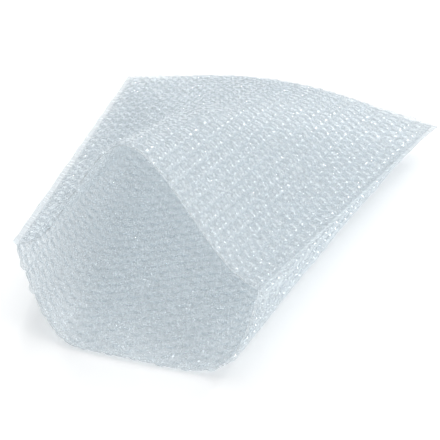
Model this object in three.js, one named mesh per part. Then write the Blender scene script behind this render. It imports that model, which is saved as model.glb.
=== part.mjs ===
// Bubble film pouch, lying on its lower panel with the mouth open.
// One web of film is folded at the closed end and welded up both sides, bubbles outwards.
// Millimetres. +X runs to the right across the mouth, +Y from the mouth to the fold, +Z up.
import * as THREE from 'three';

// The film and its bubbles
const filmWidth = 272;
const filmLength = 357;
const filmThickness = 1;
const weldWidth = 4;
const foldBulge = 3;
const bubblePitch = 11;
const bubbleHeight = 3.5;

// Where the two welds stand at the mouth and at the fold
const mouthSpread = 186;
const mouthShift = 10;
const leftMouthLift = 79;
const rightMouthLift = 84;
const leftFoldLift = 19;
const rightFoldLift = 25;
const leftBowOut = 6;
const leftBowDown = 11;

// The ridge of the upper panel
const ridgeHeight = 90;
const ridgeFall = 0.55;
const ridgeSetback = 18;
const foldArch = 10.5;
const crestAtMouth = 0.44;
const crestAtFold = 0.7;
const leftFlank = { round: 2.2, flare: 3 };
const rightFlank = { round: 1.6, flare: 2.2 };
const ridgeToArch = 2;

// The trough of the lower panel
const troughLine = 0.27;
const leftTroughPower = 2.1;
const rightTroughPower = 10;
const lipReach = 8;
const foldCurl = 8;

// The patch of pressed bubbles that the pouch lies on, measured along and across the lower panel
const restFrom = 30;
const restTo = 205;
const restLeft = 98;
const restRight = 172;

// Facets of the plain inner face
const innerColumns = 22;
const innerSteps = 5;

const { lerp } = THREE.MathUtils;
const layer = filmThickness + bubbleHeight;

// One weld line, straight from the mouth to the fold but for the left one's sag
class WeldLine extends THREE.Curve {
  constructor(side, mouthLift, foldLift, bowOut, bowDown) {
    super();
    const mouthX = mouthShift + side * mouthSpread / 2;
    const foldX = side * filmWidth / 2;
    const reach = Math.sqrt(filmLength ** 2 - (foldX - mouthX) ** 2 - (foldLift - mouthLift) ** 2);
    this.mouth = new THREE.Vector3(mouthX, 0, mouthLift);
    this.fold = new THREE.Vector3(foldX, reach, foldLift);
    this.bow = new THREE.Vector3(side * bowOut, 0, -bowDown);
  }

  getPoint(t, target = new THREE.Vector3()) {
    target.lerpVectors(this.mouth, this.fold, t);
    return target.addScaledVector(this.bow, 4 * t * (1 - t));
  }
}

const leftWeld = new WeldLine(-1, leftMouthLift, leftFoldLift, leftBowOut, leftBowDown);
const rightWeld = new WeldLine(1, rightMouthLift, rightFoldLift, 0, 0);

const archOf = (s) => 4 * s * (1 - s);

// A cross-section of the film from the left weld (s = 0) to the right weld (s = 1)
class FilmSection extends THREE.Curve {
  constructor(t) {
    super();
    this.t = t;
    this.left = leftWeld.getPoint(t);
    this.right = rightWeld.getPoint(t);
    this.arcLengthDivisions = 300;
  }
}

// The upper panel is a ridge at the mouth that dies away into the arch of the fold
class UpperSection extends FilmSection {
  getPoint(s, target = new THREE.Vector3()) {
    const crest = lerp(crestAtMouth, crestAtFold, this.t);
    const flank = s > crest ? rightFlank : leftFlank;
    const away = s > crest ? (s - crest) / (1 - crest) : (crest - s) / crest;
    const ridge = Math.max(0, 1 - away ** flank.round) ** flank.flare;
    const height = lerp(foldArch, ridgeHeight, (1 - this.t) ** ridgeFall);
    target.lerpVectors(this.left, this.right, s);
    target.y += ridgeSetback * (1 - this.t) * archOf(s);
    target.z += height * lerp(ridge, archOf(s), this.t ** ridgeToArch);
    return target;
  }
}

// The lower panel is a trough on the floor that curls up into the arch of the fold
class LowerSection extends FilmSection {
  getPoint(s, target = new THREE.Vector3()) {
    const onLeft = s < troughLine;
    const away = onLeft ? (troughLine - s) / troughLine : (s - troughLine) / (1 - troughLine);
    const power = onLeft ? leftTroughPower : rightTroughPower;
    const weldHeight = onLeft ? this.left.z : this.right.z;
    const trough = lerp(layer, weldHeight, away ** power);
    target.lerpVectors(this.left, this.right, s);
    target.y -= lipReach * (1 - this.t) * (1 - away ** 2);
    target.z = lerp(trough, target.z + foldArch * archOf(s), this.t ** foldCurl);
    return target;
  }
}

// The bubble lattice: rows run along the film, and each row is half a pitch out of step with the next
const rowStep = bubblePitch * Math.sqrt(3) / 2;
const rowCount = Math.floor(filmWidth / rowStep);
const stepCount = Math.round(filmLength / (bubblePitch / 2));
const zigzag = bubblePitch / (4 * Math.sqrt(3));
const rowPlace = (row) => 0.5 + (row - (rowCount - 1) / 2) * rowStep / filmWidth;
const hasBubble = (row, step) => (row + step) % 2 === 0;
const valleyPlace = (line, step) => {
  const shift = hasBubble(line - 1, step) ? zigzag : -zigzag;
  return rowPlace(line - 0.5) + shift / filmWidth;
};

const positions = [];
const triangles = [];

function addVertex(point) {
  positions.push(point.x, point.y, point.z);
  return positions.length / 3 - 1;
}

// A facet with all three corners on lines that both panels share would have no thickness
let sharedCount = 0;

function addTriangle(a, b, c, flipped) {
  if (Math.max(a, b, c) < sharedCount) return;
  triangles.push(a, flipped ? c : b, flipped ? b : c);
}

// Film points of one panel at evenly spaced places across and steps along, with the outward normal
class Panel {
  constructor(Section, outward) {
    this.outward = outward;
    this.sections = [];
    for (let step = 0; step <= stepCount; step += 1) this.sections.push(new Section(step / stepCount));
  }

  film(place, step) {
    return this.sections[step].getPointAt(THREE.MathUtils.clamp(place, 0, 1));
  }

  across(place, step) {
    const small = 0.01;
    return this.film(place + small, step).sub(this.film(place - small, step)).normalize();
  }

  along(place, step) {
    const next = Math.min(step + 1, stepCount);
    const last = Math.max(step - 1, 0);
    return this.film(place, next).sub(this.film(place, last)).normalize();
  }

  offset(place, step, distance) {
    const normal = this.across(place, step).cross(this.along(place, step)).normalize();
    return this.film(place, step).addScaledVector(normal, this.outward * distance);
  }
}

const upper = new Panel(UpperSection, 1);
const lower = new Panel(LowerSection, -1);

// Outer edges that both panels share: the two welds and the fold
function weldEdge(place, step) {
  const inwards = upper.across(place, step).add(lower.across(place, step)).normalize();
  const edge = upper.film(place, step);
  edge.addScaledVector(inwards, place === 0 ? -weldWidth : weldWidth);
  if (step === stepCount) edge.add(foldOut(place));
  return addVertex(edge);
}

function foldOut(place) {
  const outwards = upper.along(place, stepCount).add(lower.along(place, stepCount)).normalize();
  return outwards.multiplyScalar(foldBulge);
}

function foldEdge(place) {
  return addVertex(upper.film(place, stepCount).add(foldOut(place)));
}

const leftEdge = [];
const rightEdge = [];
for (let step = 0; step <= stepCount; step += 1) {
  leftEdge.push(weldEdge(0, step));
  rightEdge.push(weldEdge(1, step));
}
const foldValley = [];
const foldCrown = [];
for (let row = 0; row < rowCount; row += 1) {
  foldValley.push(foldEdge(valleyPlace(row, stepCount)));
  foldCrown.push(hasBubble(row, stepCount) ? foldEdge(rowPlace(row)) : null);
}

// A valley vertex on the line between two rows of bubbles; the end lines are the welds
function valleyVertices(panel) {
  const lines = [leftEdge];
  for (let line = 1; line < rowCount; line += 1) {
    const vertices = [];
    for (let step = 0; step < stepCount; step += 1) {
      vertices.push(addVertex(panel.offset(valleyPlace(line, step), step, filmThickness)));
    }
    vertices.push(foldValley[line]);
    lines.push(vertices);
  }
  lines.push(rightEdge);
  return lines;
}

// The six valley vertices around a bubble, or the four beside a bubble cut by the mouth or the fold
function cellRing(valley, row, step) {
  const right = valley[row + 1];
  const left = valley[row];
  if (step === 0) return [right[0], right[1], left[1], left[0]];
  if (step === stepCount) return [left[step], left[step - 1], right[step - 1], right[step]];
  return [right[step - 1], right[step], right[step + 1], left[step + 1], left[step], left[step - 1]];
}

// The bubbled outer face: each whole bubble is a six-sided peak, and the cut ones are pressed flat
function addOuterFace(panel, isPressed) {
  const valley = valleyVertices(panel);
  const mouthLine = [leftEdge[0]];
  const pressedCells = [];
  for (let row = 0; row < rowCount; row += 1) {
    for (let step = row % 2; step <= stepCount; step += 2) {
      const ring = cellRing(valley, row, step);
      const isWhole = step > 0 && step < stepCount;
      if (isWhole && isPressed(row, step)) {
        pressedCells.push(ring);
        continue;
      }
      const height = isWhole ? layer : filmThickness;
      const isFold = step === stepCount;
      const peak = isFold ? foldCrown[row] : addVertex(panel.offset(rowPlace(row), step, height));
      const sides = isWhole ? ring.length : ring.length - 1;
      for (let side = 0; side < sides; side += 1) {
        addTriangle(peak, ring[side], ring[(side + 1) % ring.length], panel.outward < 0);
      }
      if (step === 0) mouthLine.push(peak);
    }
    mouthLine.push(valley[row + 1][0]);
  }
  return { mouthLine, pressedCells };
}

// The pressed bubbles make one flat face on the floor, bounded by the valleys around them
function addRestFace(cells) {
  const edges = new Set();
  for (const ring of cells) ring.forEach((from, side) => edges.add(`${from} ${ring[(side + 1) % 6]}`));
  const nextOf = new Map();
  for (const edge of edges) {
    const [from, to] = edge.split(' ').map(Number);
    if (!edges.has(`${to} ${from}`)) nextOf.set(from, to);
  }
  const loop = [nextOf.keys().next().value];
  while (nextOf.get(loop.at(-1)) !== loop[0]) loop.push(nextOf.get(loop.at(-1)));
  const outline = loop.map((vertex) => {
    positions[vertex * 3 + 2] = 0;
    return new THREE.Vector2(positions[vertex * 3], positions[vertex * 3 + 1]);
  });
  for (const [a, b, c] of THREE.ShapeUtils.triangulateShape(outline, [])) {
    addTriangle(loop[a], loop[b], loop[c], true);
  }
}

// Fills the strip between two lines of vertices, each with its places across the film
function addStrip(near, far, flipped) {
  let i = 0;
  let j = 0;
  while (i < near.length - 1 || j < far.length - 1) {
    const nearNext = near[i + 1]?.place ?? Infinity;
    const farNext = far[j + 1]?.place ?? Infinity;
    if (nearNext < farNext) {
      addTriangle(near[i].vertex, near[i + 1].vertex, far[j].vertex, flipped);
      i += 1;
    } else {
      addTriangle(near[i].vertex, far[j + 1].vertex, far[j].vertex, flipped);
      j += 1;
    }
  }
}

// Steps along the film at which the inner face has a line of vertices, closer together at the fold
const innerLines = [];
for (let step = innerSteps; step < stepCount - innerSteps; step += innerSteps) innerLines.push(step);
innerLines.push(stepCount - innerSteps, stepCount - 2, stepCount - 1, stepCount);

const innerWeld = (place) => [0, ...innerLines].map((step) => addVertex(upper.film(place, step)));
const leftInner = innerWeld(0);
const rightInner = innerWeld(1);
const innerFold = [];
for (let column = 1; column < innerColumns; column += 1) {
  innerFold.push(addVertex(upper.film(column / innerColumns, stepCount)));
}

// Places of the mouth line's vertices across the film
const mouthPlaces = [];
for (let row = 0; row < rowCount; row += 1) {
  if (hasBubble(row, 0)) mouthPlaces.push(rowPlace(row));
  if (row < rowCount - 1) mouthPlaces.push(valleyPlace(row + 1, 0));
}

// The smooth inner face, and the cut edge of the film between it and the outer face at the mouth
function addInnerFace(panel, mouthLine) {
  const isUpper = panel.outward > 0;
  let near = mouthPlaces.map((place) => ({ place, vertex: addVertex(panel.film(place, 0)) }));
  near = [{ place: 0, vertex: leftInner[0] }, ...near, { place: 1, vertex: rightInner[0] }];
  for (let i = 0; i < near.length - 1; i += 1) {
    addTriangle(mouthLine[i], near[i].vertex, near[i + 1].vertex, !isUpper);
    addTriangle(mouthLine[i], near[i + 1].vertex, mouthLine[i + 1], !isUpper);
  }
  innerLines.forEach((step, index) => {
    const far = [{ place: 0, vertex: leftInner[index + 1] }];
    for (let column = 1; column < innerColumns; column += 1) {
      const place = column / innerColumns;
      const isFold = step === stepCount;
      far.push({ place, vertex: isFold ? innerFold[column - 1] : addVertex(panel.film(place, step)) });
    }
    far.push({ place: 1, vertex: rightInner[index + 1] });
    addStrip(near, far, isUpper);
    near = far;
  });
}

const isOnRest = (row, step) => {
  const across = rowPlace(row) * filmWidth;
  const along = step / stepCount * filmLength;
  return across > restLeft && across < restRight && along > restFrom && along < restTo;
};

sharedCount = positions.length / 3;
const upperFace = addOuterFace(upper, () => false);
addInnerFace(upper, upperFace.mouthLine);
const lowerFace = addOuterFace(lower, isOnRest);
addRestFace(lowerFace.pressedCells);
addInnerFace(lower, lowerFace.mouthLine);

const indexed = new THREE.BufferGeometry();
indexed.setAttribute('position', new THREE.Float32BufferAttribute(positions, 3));
indexed.setIndex(triangles);
const geometry = indexed.toNonIndexed();
geometry.computeBoundingBox();
const middle = geometry.boundingBox.getCenter(new THREE.Vector3());
geometry.translate(-middle.x, -middle.y, 0);

const film = new THREE.MeshStandardMaterial({
  color: 0xd5e1e9,
  roughness: 0.22,
  metalness: 0,
  transparent: true,
  opacity: 0.5,
  flatShading: true,
});

const pouch = new THREE.Mesh(geometry, film);
pouch.name = 'bubble_pouch';

const group = new THREE.Group();
group.add(pouch);

export default group;
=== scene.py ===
from collections import namedtuple

import bmesh
import bpy
import numpy as np
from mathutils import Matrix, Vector


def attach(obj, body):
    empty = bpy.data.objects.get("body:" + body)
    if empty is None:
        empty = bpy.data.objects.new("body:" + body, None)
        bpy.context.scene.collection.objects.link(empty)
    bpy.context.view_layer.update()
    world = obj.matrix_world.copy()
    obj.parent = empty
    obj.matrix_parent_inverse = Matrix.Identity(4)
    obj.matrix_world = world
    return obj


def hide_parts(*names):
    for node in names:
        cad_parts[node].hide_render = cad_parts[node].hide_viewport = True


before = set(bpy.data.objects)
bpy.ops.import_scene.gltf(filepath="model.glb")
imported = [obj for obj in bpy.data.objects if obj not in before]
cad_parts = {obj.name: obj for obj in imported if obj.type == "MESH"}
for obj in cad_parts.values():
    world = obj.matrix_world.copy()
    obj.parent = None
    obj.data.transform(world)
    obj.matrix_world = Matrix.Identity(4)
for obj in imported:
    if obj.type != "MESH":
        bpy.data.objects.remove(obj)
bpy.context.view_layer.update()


# The film panels. The pouch is one web of thin clear polyethylene, folded once at the closed end
# and welded up both sides; the lower panel lies on the floor and the upper one stands in a ridge.
# Both are worked out in millimetres: s runs from the left weld to the right, t from mouth to fold.

FILM_WIDTH = 272.0
FILM_LENGTH = 357.0
FILM_LAYER = 4.5
MOUTH_SPREAD = 186.0
MOUTH_SHIFT = 10.0
LEFT_WELD = dict(side=-1, mouth_lift=79.0, fold_lift=19.0, bow_out=6.0, bow_down=11.0)
RIGHT_WELD = dict(side=1, mouth_lift=84.0, fold_lift=25.0, bow_out=0.0, bow_down=0.0)
FOLD_ARCH = 10.5


def between(a, b, f):
    """The value that lies the fraction f of the way from a to b."""
    return a + (b - a) * f


def arch(s):
    """A parabola that is 0 at both ends and 1 in the middle: 4s(1 - s)."""
    return 4 * s * (1 - s)


def weld_line(t, side, mouth_lift, fold_lift, bow_out, bow_down):
    """A straight line of the film's length from mouth to fold, plus the bow times an arch."""
    mouth_x = MOUTH_SHIFT + side * MOUTH_SPREAD / 2
    fold_x = side * FILM_WIDTH / 2
    reach = np.sqrt(FILM_LENGTH ** 2 - (fold_x - mouth_x) ** 2 - (fold_lift - mouth_lift) ** 2)
    mouth = np.array([mouth_x, 0, mouth_lift])
    fold = np.array([fold_x, reach, fold_lift])
    bow = np.array([side * bow_out, 0, -bow_down])
    t = np.asarray(t)[..., None]
    return between(mouth, fold, t) + bow * arch(t)


RIDGE_HEIGHT = 90.0
RIDGE_FALL = 0.55
RIDGE_SETBACK = 18.0
CREST_AT_MOUTH = 0.44
CREST_AT_FOLD = 0.7
LEFT_ROUND, LEFT_FLARE = 2.2, 3.0
RIGHT_ROUND, RIGHT_FLARE = 1.6, 2.2


def upper_section(s, t):
    """The line between the welds, raised by a ridge (1 - away^round)^flare on both sides of a crest.
    Towards the fold the ridge gets lower and turns into an arch, as the square of t."""
    crest = between(CREST_AT_MOUTH, CREST_AT_FOLD, t)
    right = s > crest
    away = np.clip(np.where(right, (s - crest) / (1 - crest), (crest - s) / crest), 0, 1)
    roundness = np.where(right, RIGHT_ROUND, LEFT_ROUND)
    ridge = (1 - away ** roundness) ** np.where(right, RIGHT_FLARE, LEFT_FLARE)
    height = between(FOLD_ARCH, RIDGE_HEIGHT, (1 - t) ** RIDGE_FALL)
    points = between(weld_line(t, **LEFT_WELD), weld_line(t, **RIGHT_WELD), s[..., None])
    points[..., 1] += RIDGE_SETBACK * (1 - t) * arch(s)
    points[..., 2] += height * between(ridge, arch(s), t ** 2)
    return points


TROUGH_LINE = 0.27
LEFT_CLIMB = 2.1
RIGHT_CLIMB = 10.0
LIP_REACH = 8.0
FOLD_CURL = 8


def lower_section(s, t):
    """A trough that lies one film layer over the floor and climbs to each weld as a power of the way
    there from the trough's line. At the fold it curls up to the arch, as a high power of t."""
    on_left = s < TROUGH_LINE
    away = np.where(on_left, (TROUGH_LINE - s) / TROUGH_LINE, (s - TROUGH_LINE) / (1 - TROUGH_LINE))
    left, right = weld_line(t, **LEFT_WELD), weld_line(t, **RIGHT_WELD)
    weld_height = np.where(on_left, left[..., 2], right[..., 2])
    trough = between(FILM_LAYER, weld_height, away ** np.where(on_left, LEFT_CLIMB, RIGHT_CLIMB))
    points = between(left, right, s[..., None])
    points[..., 1] -= LIP_REACH * (1 - t) * (1 - away ** 2)
    points[..., 2] = between(trough, points[..., 2] + FOLD_ARCH * arch(s), t ** FOLD_CURL)
    return points


TABLE_ROWS = 261
TABLE_COLUMNS = 273
PATH_POINTS = 801
Panel = namedtuple("Panel", "points normals")


def panel_table(section, outward):
    """Points of a panel's inner face and its outward normals, at even lengths along each section.
    The running length of every section is turned round by interpolation to give its even places."""
    t = np.linspace(0, 1, TABLE_ROWS)[:, None]
    fine = np.linspace(0, 1, PATH_POINTS)
    even = np.linspace(0, 1, TABLE_COLUMNS)
    path = section(np.tile(fine, (TABLE_ROWS, 1)), np.tile(t, PATH_POINTS))
    run = np.linalg.norm(np.diff(path, axis=1), axis=2).cumsum(axis=1)
    run = np.concatenate([np.zeros((TABLE_ROWS, 1)), run / run[:, -1:]], axis=1)
    s = np.stack([np.interp(even, row, fine) for row in run])
    points = section(s, np.tile(t, TABLE_COLUMNS))
    normals = np.cross(np.gradient(points, axis=1), np.gradient(points, axis=0)) * outward
    return Panel(points, normals / np.linalg.norm(normals, axis=2, keepdims=True))


def read_table(table, across, along):
    """Values at places in millimetres across and along the film, between the table's nearest four."""
    rows, columns = table.shape[0] - 1, table.shape[1] - 1
    v = np.clip(along / FILM_LENGTH, 0, 1) * rows
    u = np.clip(across / FILM_WIDTH, 0, 1) * columns
    i, j = np.minimum(v.astype(int), rows - 1), np.minimum(u.astype(int), columns - 1)
    v, u = (v - i)[..., None], (u - j)[..., None]
    near = between(table[i, j], table[i, j + 1], u)
    far = between(table[i + 1, j], table[i + 1, j + 1], u)
    return between(near, far, v)


UPPER = panel_table(upper_section, 1)
LOWER = panel_table(lower_section, -1)


# The bubbles. A second web is drawn by vacuum into round domes on a close lattice and bonded to the
# flat web on the narrow lands between them, so the bubbles stand on the outside of the pouch.
# Bubbles cut through at the mouth or pinched in the fold have lost their air and lie nearly flat.

PITCH = 11.0
BUBBLE_RADIUS = 5.0
LAND = 0.5
ROW_STEP = PITCH * np.sqrt(3) / 2
ROWS = int(FILM_WIDTH // ROW_STEP)
STEPS = round(FILM_LENGTH / (PITCH / 2))
STEP = FILM_LENGTH / STEPS
RING_POINTS = 12
RING_RADII = np.array([0.62, 0.88, 1.0]) * BUBBLE_RADIUS
RING_SHARES = np.array([0.96, 0.66, 0.0])
LEAST_FILL = 0.8
LEAK_SHARE = 0.04
LEAKED_FILL = 0.4
WELD_SIDE_FILL = 0.75
PINCHED_STEPS = 7
EMPTY_RISE = 0.8
CRUMPLE = 0.05
TILT = 0.14


def row_place(row):
    """The middle of a row of bubbles, in millimetres across the film."""
    return FILM_WIDTH / 2 + (row - (ROWS - 1) / 2) * ROW_STEP


def bubble_cells(seed):
    """Places across and along, dome share and height over the inner face of every cell's points.
    A cell is an apex, three rings of twelve points and the twelve points of its six-sided outline.
    Each dome has its own height, tilt and crumpled rings; cut and folded ones are flat."""
    row, step = np.meshgrid(np.arange(ROWS), np.arange(STEPS + 1), indexing="ij")
    bubbled = (row + step) % 2 == 0
    row, step = row[bubbled], step[bubbled]
    whole = (step > 0) & (step < STEPS)
    chance = np.random.default_rng(seed)
    rise = (FILM_LAYER - LAND) * chance.uniform(LEAST_FILL, 1.0, row.size)
    rise = rise * np.where(chance.random(row.size) < LEAK_SHARE, LEAKED_FILL, 1.0)
    rise = rise * np.where((row == 0) | (row == ROWS - 1), WELD_SIDE_FILL, 1.0)
    rise = rise * np.clip((STEPS + 2 - step) / PINCHED_STEPS, 0.0, 1.0)
    rise = np.where(whole, rise, EMPTY_RISE)
    corner = np.arange(RING_POINTS)
    outline = np.where(corner % 2, PITCH / np.sqrt(3), PITCH / 2)
    radius = np.concatenate([[0.0], np.repeat(RING_RADII, RING_POINTS), outline])
    turn = np.concatenate([[0.0], np.tile(corner * 2 * np.pi / RING_POINTS, 4)])
    share = np.concatenate([[1.0], np.repeat(RING_SHARES, RING_POINTS), np.zeros(RING_POINTS)])
    crumple = np.where(whole[:, None], chance.normal(0.0, CRUMPLE, (row.size, share.size)), 0.0)
    lean = chance.uniform(0, 2 * np.pi, row.size)
    tilt = np.where(whole, chance.uniform(0.0, TILT, row.size), 0.0)
    slant = tilt[:, None] * np.cos(turn - lean[:, None]) * radius / BUBBLE_RADIUS
    dome = share * (1 + crumple + slant)
    across = row_place(row)[:, None] + radius * np.sin(turn)
    along = step[:, None] * STEP + radius * np.cos(turn) * STEP / (PITCH / 2)
    height = LAND + np.clip(dome, 0.0, 1.0) * rise[:, None]
    return across, along, share * np.ones_like(across), height


def cell_faces():
    """The faces of one cell on its points: twelve triangles round the apex, and three rings of quads."""
    k = np.arange(RING_POINTS)
    n = (k + 1) % RING_POINTS
    fan = np.stack([0 * k, 1 + k, 1 + n], axis=1)
    ring = np.stack([1 + k, 1 + k + RING_POINTS, 1 + n + RING_POINTS, 1 + n], axis=1)
    return fan, np.concatenate([ring + RING_POINTS * i for i in range(3)])


SLACK = 0.7
SLACK_FROM_WELD, SLACK_FROM_FOLD = 40.0, 60.0
PUCKER = 0.45
PUCKER_REACH = 7.0
PUCKER_FROM_FOLD = 25.0


def film_sway(across, along, phase):
    """Soft slack in the film: crossed sine waves in the middle, held at the welds and the fold, and
    short puckers close beside the welds, which rise and die away as x exp(1 - x)."""
    u, v = across / FILM_WIDTH, along / FILM_LENGTH
    slack = np.sin(9.1 * u + 5.3 * v + phase) * np.sin(3.7 * u - 8.9 * v + 2 * phase)
    slack = slack + 0.6 * np.sin(17 * v + 6 * u * u + phase) * np.sin(13 * u + 1.3 * phase)
    from_weld = np.clip(np.minimum(across, FILM_WIDTH - across), 0, None)
    from_fold = FILM_LENGTH - along
    held = np.clip(np.minimum(from_weld / SLACK_FROM_WELD, from_fold / SLACK_FROM_FOLD), 0, 1)
    x = from_weld / PUCKER_REACH
    pucker = np.sin(along / 5.2 + 3 * np.sin(along / 31 + phase)) * x * np.exp(1 - x)
    return SLACK * slack * held + PUCKER * pucker * np.clip(from_fold / PUCKER_FROM_FOLD, 0, 1)


NEARBY = 3.0
FOLD_BULGE = 3.0
FOLD_TURN = 9.0
FLOOR_GAP = 0.05


def unit(vectors):
    """The vectors divided by their lengths."""
    return vectors / np.linalg.norm(vectors, axis=-1, keepdims=True)


def fold_out(across):
    """Straight out of the fold: the middle of the two directions in which the panels arrive there."""
    end = np.full_like(across, FILM_LENGTH)
    arrive = [unit(read_table(panel.points, across, end) - read_table(panel.points, across, end - NEARBY))
              for panel in (UPPER, LOWER)]
    return unit(arrive[0] + arrive[1])


def fold_share(along):
    """How far the film has turned round the fold: the square of the way over its last millimetres."""
    return np.clip((along - FILM_LENGTH + FOLD_TURN) / FOLD_TURN, 0, 1) ** 2


def film_points(panel, across, along, height, phase):
    """Places on the film in millimetres: the inner face, plus the height and the sway along the normal.
    Over the last few millimetres the normal turns straight out, so the two panels meet round the fold."""
    turn = fold_share(along)
    normals = read_table(panel.normals, across, along)
    normals = unit(between(normals, fold_out(across), turn[..., None]))
    outside = np.clip(height / LAND, 0, 1) * turn
    rise = height + (FOLD_BULGE - LAND) * outside + film_sway(across, along, phase)
    points = read_table(panel.points, across, along) + normals * rise[..., None]
    points[..., 2] = np.maximum(points[..., 2], FLOOR_GAP)
    return points


# The welds. Hot bars fuse both panels into a flat, stiffer strip up each side, trimmed just outside.
# The strip lies in the plane that halves the angle between the panels and waves a little.

WELD_WIDTH = 4.0
WELD_HALF_THICKNESS = 0.25
WELD_WAVE = 0.5
WELD_LINES = (0.0, 0.3, 0.65, 1.0)


def weld_edge(across, along):
    """The trimmed edge: the weld line pushed out along the middle of the two panels' across directions,
    and waved up and down by a sine whose own length wanders. At its end it follows the fold."""
    inside = np.where(across > 0, FILM_WIDTH - NEARBY, NEARBY)
    line = read_table(UPPER.points, across, along)
    outward = [unit(line - read_table(panel.points, inside, along)) for panel in (UPPER, LOWER)]
    push = unit(outward[0] + outward[1])
    turn = fold_share(along)
    edge = line + push * WELD_WIDTH + fold_out(across) * FOLD_BULGE * turn[..., None]
    wave = WELD_WAVE * np.sin(along / 7 + 2.5 * np.sin(along / 40 + across))
    edge[..., 2] += wave * (1 - turn)
    return edge


# The whole pouch as one closed mesh: the bubbled web outside, the flat web inside, the welds,
# and the cut edge of the film round the mouth that joins the two webs. Every point keeps its place
# on the flat web and three marks: its share of a dome, of a weld or cut edge, and of the inner face.

MM_PER_METRE = 1000.0
TOUCHING = 0.01
MERGE_DIGITS = 4
CUT_MARK = 0.6
SEAM_MARK = 0.5
LIP_STEP = 0.3
SHARP_ANGLE = np.radians(62)
places, marks, faces = [], [], []


def add_points(points, across, along, dome=0, weld=0, inside=0):
    """Keeps points with their marks and returns their numbers in the same layout."""
    start = sum(len(block) for block in places)
    places.append(points.reshape(-1, 3))
    point_marks = np.broadcast_arrays(across, along, dome, weld, inside)
    marks.append(np.stack(point_marks, axis=-1).reshape(-1, 5))
    return start + np.arange(points.size // 3).reshape(points.shape[:-1])


def add_strip(near, far):
    """Quads between two lines of as many points."""
    faces.append(np.stack([near[:-1], near[1:], far[1:], far[:-1]], axis=1))


def web_place(panel, along):
    """How far along the whole web a place is: the lower panel follows the upper one round the fold."""
    return 2 * FILM_LENGTH - along if panel is LOWER else along


# The outermost cells end in a zigzag beside each weld. Its points are half a step apart, and cell_sides
# is how far the four kinds of them lie from the middle of the row. The inner face has lines of points at
# the lip and just behind it, at every second step, and at each of the last steps before the fold.
half_steps = np.arange(2 * STEPS + 1) * STEP / 2
cell_sides = np.array([4, 3, 2, 3]) * PITCH / (4 * np.sqrt(3))
fold_steps = np.arange(STEPS - 2, STEPS + 1)
inner_steps = np.concatenate([[0, LIP_STEP], np.arange(2, STEPS - 2, 2), fold_steps])
for panel, phase, seed in ((UPPER, 0.4, 11), (LOWER, 2.3, 12)):
    across, along, dome, height = bubble_cells(seed)
    at_mouth = np.abs(along) < TOUCHING
    domes = film_points(panel, across, along, height, phase)
    cells = add_points(domes, across, web_place(panel, along), dome, CUT_MARK * at_mouth)
    for corners in cell_faces():
        middle = along[:, corners].mean(axis=2)
        kept = (middle > TOUCHING) & (middle < FILM_LENGTH - TOUCHING)
        faces.append(cells[:, corners][kept])

    mouth_across, first = np.unique(np.round(across[at_mouth], MERGE_DIGITS), return_index=True)
    mouth_line = cells[at_mouth][first]
    seam_place = web_place(panel, half_steps)
    seams = []
    for side, row, outwards in ((0.0, 0, -1), (FILM_WIDTH, ROWS - 1, 1)):
        seam_across = np.full_like(half_steps, side)
        seam = film_points(panel, seam_across, half_steps, WELD_HALF_THICKNESS, phase)
        edge = weld_edge(seam_across, half_steps)
        lines = [add_points(between(seam, edge, f), seam_across, seam_place, weld=1 if f else SEAM_MARK)
                 for f in WELD_LINES]
        for near, far in zip(lines, lines[1:]):
            add_strip(near, far)
        corner = (np.arange(half_steps.size) + 2 * (row % 2)) % 4
        zigzag = row_place(row) + outwards * cell_sides[corner]
        land = film_points(panel, zigzag, half_steps, LAND, phase)
        add_strip(add_points(land, zigzag, seam_place), lines[0])
        seams.append(lines)

    inner_across = np.concatenate([[0.0], mouth_across, [FILM_WIDTH]])
    u, v = np.meshgrid(inner_across, inner_steps * STEP)
    inner_face = film_points(panel, u, v, 0.0, phase)
    inner = add_points(inner_face, u, web_place(panel, v), weld=1.0 * (v == 0), inside=1)
    for near, far in zip(inner, inner[1:]):
        add_strip(near, far)
    add_strip(np.concatenate([[seams[0][0][0]], mouth_line, [seams[1][0][0]]]), inner[0])
    for lines, inner_corner in ((seams[0], inner[0, 0]), (seams[1], inner[0, -1])):
        tips = [line[0] for line in lines]
        faces.append(np.array([[inner_corner, a, b] for a, b in zip(tips, tips[1:])]))

# The panels' own origin, on the floor at the mouth, lies here in the frame. Points that fall together
# become one, and points on no face are left out.
MOUTH_PLACE = np.array([0.363, -172.713, 0.0])
points = np.concatenate(places) + MOUTH_PLACE
marks = np.concatenate(marks)
welded, number = np.unique(np.round(points, MERGE_DIGITS), axis=0, return_inverse=True)
number = number.reshape(-1)
corner = np.concatenate([block.ravel() for block in faces])
used = np.unique(number[corner])
renumber = np.zeros(len(welded), int)
renumber[used] = np.arange(len(used))
face_rows = [row for block in faces for row in renumber[number[block]].tolist()]
film_mesh = bpy.data.meshes.new("bubble_film")
film_mesh.from_pydata(welded[used] / MM_PER_METRE, [], face_rows)
uv_map = film_mesh.uv_layers.new(name="film_place")
uv_map.data.foreach_set("uv", (marks[corner, :2] / MM_PER_METRE).ravel())
for name, column in (("dome", 2), ("weld", 3), ("inside", 4)):
    film_mesh.attributes.new(name, "FLOAT", "CORNER").data.foreach_set("value", marks[corner, column])
whole = bmesh.new()
whole.from_mesh(film_mesh)
bmesh.ops.recalc_face_normals(whole, faces=whole.faces)
whole.to_mesh(film_mesh)
whole.free()
film_mesh.shade_smooth()
film_mesh.set_sharp_from_angle(angle=SHARP_ANGLE)
film_pouch = bpy.data.objects.new("film_pouch", film_mesh)
bpy.context.scene.collection.objects.link(film_pouch)


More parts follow.
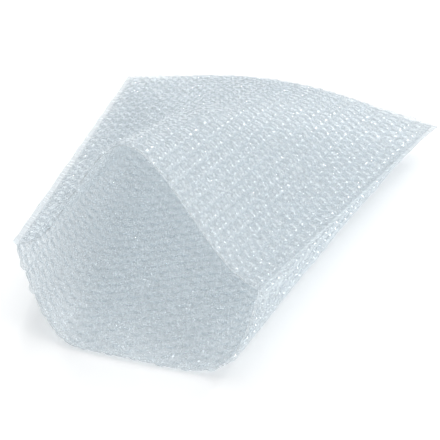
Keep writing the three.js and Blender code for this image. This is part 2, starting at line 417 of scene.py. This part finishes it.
class Wire:
    """A socket in a material's node tree. Arithmetic between wires and numbers adds Math nodes."""

    def __init__(self, tree, socket=None):
        self.tree, self.socket = tree, socket

    def node(self, kind, settings, sockets, output=0):
        """Adds a node: its settings first, then the value or the link of each socket it names."""
        made = self.tree.nodes.new(kind)
        for name, value in settings.items():
            setattr(made, name, value)
        for name, value in sockets.items():
            if isinstance(value, Wire):
                self.tree.links.new(value.socket, made.inputs[name])
            else:
                made.inputs[name].default_value = value
        return Wire(self.tree, made.outputs[output] if made.outputs else None)

    def math(self, operation, first, second):
        """Adds a Math node on two wires or numbers."""
        return self.node("ShaderNodeMath", {"operation": operation}, {0: first, 1: second})

    def __add__(self, other):
        return self.math("ADD", self, other)

    __radd__ = __add__

    def __sub__(self, other):
        return self.math("SUBTRACT", self, other)

    def __rsub__(self, other):
        return self.math("SUBTRACT", other, self)

    def __mul__(self, other):
        return self.math("MULTIPLY", self, other)

    __rmul__ = __mul__


CLEAR_TINT = (0.945, 0.959, 0.968, 1.0)
CLOUDY_TINT = (0.89, 0.93, 0.955, 1.0)
GLOSS_TINT = (0.90, 0.94, 0.96, 1.0)
BACK_LIT_SHARE = 0.3

clear_film = bpy.data.materials.new("clear_film")
clear_film.use_nodes = True
clear_film.node_tree.nodes.clear()
film = Wire(clear_film.node_tree)
dome, weld, inside = (film.node("ShaderNodeAttribute", {"attribute_name": mark}, {}, "Fac")
                      for mark in ("dome", "weld", "inside"))
place = film.node("ShaderNodeUVMap", {"uv_map": "film_place"}, {})
slope = 4 * dome * (1 - dome)
wall = slope * slope


def noise(vector, scale, detail):
    """Flat noise around 0.5 with so many waves to a unit of the vector."""
    sockets = {"Vector": vector, "Scale": scale, "Detail": detail}
    return film.node("ShaderNodeTexNoise", {"noise_dimensions": "2D"}, sockets)


def fade(value, low, high):
    """0 up to the low value, 1 from the high one on, and a straight line between them."""
    return film.node("ShaderNodeMapRange", {}, {"Value": value, "From Min": low, "From Max": high})


def cosine(angles, axis):
    """The cosine of one coordinate of a vector of angles."""
    angle = film.node("ShaderNodeSeparateXYZ", {}, {"Vector": angles}, axis)
    return film.node("ShaderNodeMath", {"operation": "COSINE"}, {0: angle})


haze = noise(place, 70.0, 3.0)
crinkle = noise(place, 520.0, 4.0)
# Painted glints: the peaks of the crinkle noise and of a coarser noise become white specks of scatter
# that stand in for the lamps' sparkle.
painted_glint_specks = fade(crinkle, 0.55, 0.72)
painted_sparkle_flecks = fade(noise(place, 330.0, 2.0), 0.58, 0.68)
drawn = film.node("ShaderNodeMapping", {}, {"Vector": place, "Scale": (900.0, 25.0, 1.0)})
streak = noise(drawn, 1.0, 2.0)

# The flat web is drawn in a little at every bubble: a cosine across times a cosine along, which is
# 1 in the middle of each bubble and -1 between two bubbles of a row.
half_turn = MM_PER_METRE * np.pi
first_row = np.pi * (ROWS - 1 - FILM_WIDTH / ROW_STEP) / 2
half_turns = film.node("ShaderNodeMapping", {}, {
    "Vector": place, "Location": (first_row, 0.0, 0.0),
    "Scale": (half_turn / ROW_STEP, half_turn / STEP, 1.0)})
dimple = cosine(half_turns, "X") * cosine(half_turns, "Y")
relief = crinkle * (0.5 + 3.5 * inside + 2 * weld) + 0.2 * streak + 1.6 * inside * dimple
bump = film.node("ShaderNodeBump", {}, {"Strength": 0.4, "Distance": 0.0008, "Height": relief})

# Clear film mirrors a little straight on and more at a slant. What it doesn't mirror passes through,
# apart from a share that its haze and welds scatter to the front and to the back, and white specks of
# extra scatter on the inner face, on the welds and, fainter, all over, which are painted glints.
facing = film.node("ShaderNodeLayerWeight", {}, {"Blend": 0.5, "Normal": bump}, "Facing")
slanted = facing * facing
mirror = 0.08 + 0.34 * slanted * slanted
# Painted glints: the specks add white scatter on the inner face and the welds, and a little everywhere.
painted_glint_scatter = (0.11 + 0.25 * painted_glint_specks + 0.55 * painted_sparkle_flecks) * (inside + 0.8 * weld)
milk = 0.17 + 0.08 * wall + 0.10 * (haze - 0.5) + 0.18 * weld + painted_glint_scatter + 0.06 * painted_sparkle_flecks
clear = film.node("ShaderNodeBsdfTransparent", {}, {"Color": CLEAR_TINT})
front_lit = film.node("ShaderNodeBsdfDiffuse", {}, {"Color": CLOUDY_TINT, "Normal": bump})
back_lit = film.node("ShaderNodeBsdfTranslucent", {}, {"Color": CLOUDY_TINT, "Normal": bump})
cloudy = film.node("ShaderNodeMixShader", {}, {0: BACK_LIT_SHARE, 1: front_lit, 2: back_lit})
web = film.node("ShaderNodeMixShader", {}, {0: milk, 1: clear, 2: cloudy})
gloss = film.node("ShaderNodeBsdfPrincipled", {}, {
    "Base Color": GLOSS_TINT, "Metallic": 1.0, "Roughness": 0.04 + 0.12 * haze, "Normal": bump})
shader = film.node("ShaderNodeMixShader", {}, {0: mirror, 1: web, 2: gloss})
film.node("ShaderNodeOutputMaterial", {}, {"Surface": shader})
film_mesh.materials.append(clear_film)
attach(film_pouch, "root")
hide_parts("bubble_pouch")


# The floor: a seamless sheet of white card under the pouch, wide enough to fill the view. To the eye,
# directly or by way of the film, it is a little brighter than it is lit, and more so away from the lamps.

FLOOR_REACH = 6.0
CARD_WHITE = (0.98, 0.98, 0.98, 1.0)
NEAR_GLOW, FAR_GLOW = 0.16, 0.86
LIT_TO, DIM_FROM = 0.4, 2.0

floor_corners = [(-FLOOR_REACH, -FLOOR_REACH, 0), (FLOOR_REACH, -FLOOR_REACH, 0),
                 (FLOOR_REACH, FLOOR_REACH, 0), (-FLOOR_REACH, FLOOR_REACH, 0)]
floor_mesh = bpy.data.meshes.new("floor")
floor_mesh.from_pydata(floor_corners, [], [(0, 1, 2, 3)])
floor = bpy.data.objects.new("floor", floor_mesh)
bpy.context.scene.collection.objects.link(floor)
white_card = bpy.data.materials.new("white_card")
white_card.use_nodes = True
white_card.node_tree.nodes.clear()
card = Wire(white_card.node_tree)
seen, shine, through = (card.node("ShaderNodeLightPath", {}, {}, ray)
                        for ray in ("Is Camera Ray", "Is Glossy Ray", "Is Transmission Ray"))
spot = card.node("ShaderNodeTexCoord", {}, {}, "Object")
away = card.node("ShaderNodeVectorMath", {"operation": "LENGTH"}, {0: spot}, "Value")
far = card.node("ShaderNodeMapRange", {}, {"Value": away, "From Min": LIT_TO, "From Max": DIM_FROM})
lift = (NEAR_GLOW + (FAR_GLOW - NEAR_GLOW) * far) * (seen + shine + through)
matt = card.node("ShaderNodeBsdfDiffuse", {}, {"Color": CARD_WHITE})
glow = card.node("ShaderNodeEmission", {}, {"Color": lift, "Strength": 1.0})
lifted = card.node("ShaderNodeAddShader", {}, {0: matt, 1: glow})
card.node("ShaderNodeOutputMaterial", {}, {"Surface": lifted})
floor_mesh.materials.append(white_card)


# The light: a large soft box overhead, weaker ones low on the right and high on the left, three small
# lamps behind the pouch that put the sharp glints on the film, and a dim white room around them.

ROOM_WHITE = (1.0, 1.0, 1.0, 1.0)
ROOM_LIGHT = 0.26
POUCH_MIDDLE = Vector((0.0, 0.0, 0.05))


def soft_box(name, place, size, watts):
    """A square lamp at a place in metres, turned towards the middle of the pouch."""
    lamp = bpy.data.lights.new(name, "AREA")
    lamp.size, lamp.energy = size, watts
    holder = bpy.data.objects.new(name, lamp)
    holder.location = place
    holder.rotation_euler = (POUCH_MIDDLE - Vector(place)).to_track_quat("-Z", "Y").to_euler()
    bpy.context.scene.collection.objects.link(holder)


soft_box("top_light", place=(0.3, 0.1, 1.45), size=1.5, watts=13.0)
soft_box("right_fill", place=(1.3, -0.6, 0.3), size=0.5, watts=10.0)
soft_box("left_fill", place=(-0.9, 0.6, 0.9), size=0.6, watts=4.5)
soft_box("high_spark", place=(-0.3, 0.7, 1.4), size=0.05, watts=2.4)
soft_box("right_spark", place=(0.7, 1.2, 0.9), size=0.05, watts=2.0)
soft_box("back_spark", place=(-0.5, 1.2, 1.1), size=0.05, watts=2.0)
room = bpy.data.worlds.new("white_room")
room.use_nodes = True
room.node_tree.nodes.clear()
air = Wire(room.node_tree)
seen = air.node("ShaderNodeLightPath", {}, {}, "Is Camera Ray")
brightness = ROOM_LIGHT + (1 - ROOM_LIGHT) * seen
sky = air.node("ShaderNodeBackground", {}, {"Color": ROOM_WHITE, "Strength": brightness})
air.node("ShaderNodeOutputWorld", {}, {"Surface": sky})
bpy.context.scene.world = room


# The camera: a long lens from the front, a little to the right and above, aimed at the middle of the
# pouch. A line of sight can cross many layers of clear film, so that many are let through.

AZIMUTH, ELEVATION, DISTANCE = np.radians(20.17), np.radians(34.04), 1.6605
AIM = Vector((0.02144, -0.02734, 0.03285))
SENSOR_WIDTH, FOCAL_LENGTH = 36.0, 174.29
FILM_LAYERS_SEEN = 32

level = np.cos(ELEVATION)
toward = Vector((np.sin(AZIMUTH) * level, -np.cos(AZIMUTH) * level, np.sin(ELEVATION)))
lens = bpy.data.cameras.new("camera")
lens.sensor_width, lens.lens = SENSOR_WIDTH, FOCAL_LENGTH
camera = bpy.data.objects.new("camera", lens)
camera.location = AIM + toward * DISTANCE
camera.rotation_euler = (-toward).to_track_quat("-Z", "Y").to_euler()
bpy.context.scene.collection.objects.link(camera)
bpy.context.scene.camera = camera
bpy.context.scene.view_settings.view_transform = "Standard"
bpy.context.scene.cycles.transparent_max_bounces = FILM_LAYERS_SEEN
